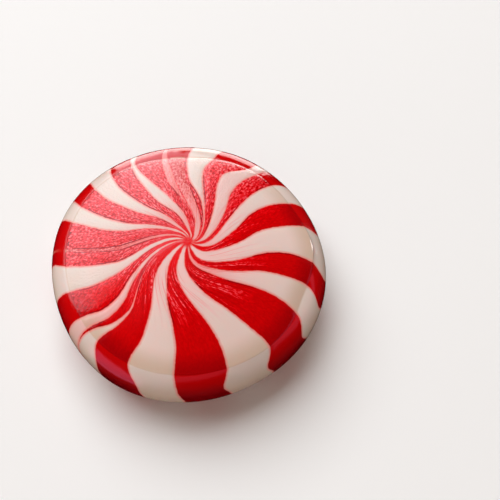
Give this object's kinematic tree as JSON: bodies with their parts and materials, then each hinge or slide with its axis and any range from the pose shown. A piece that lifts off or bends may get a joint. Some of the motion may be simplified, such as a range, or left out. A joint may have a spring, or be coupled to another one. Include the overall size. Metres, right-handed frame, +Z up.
{
  "type": "peppermint candy",
  "caption": "Round hard candy, a pressed disc with domed faces and a rounded rim, in red and white strands that swirl into the middle.",
  "frame": {"origin": "the middle of the candy's outline, on the surface that it rests on", "axes": "+Z up through the middle of the domed faces; -Y towards the side that faces the viewer in the picture; +X to the viewer's right"},
  "size_m": [0.0252, 0.026, 0.0091],
  "materials": {
    "sugar": "glossy boiled sugar in red and white strands"
  },
  "bodies": {
    "root": {"candy": "sugar"}
  },
  "joints": []
}
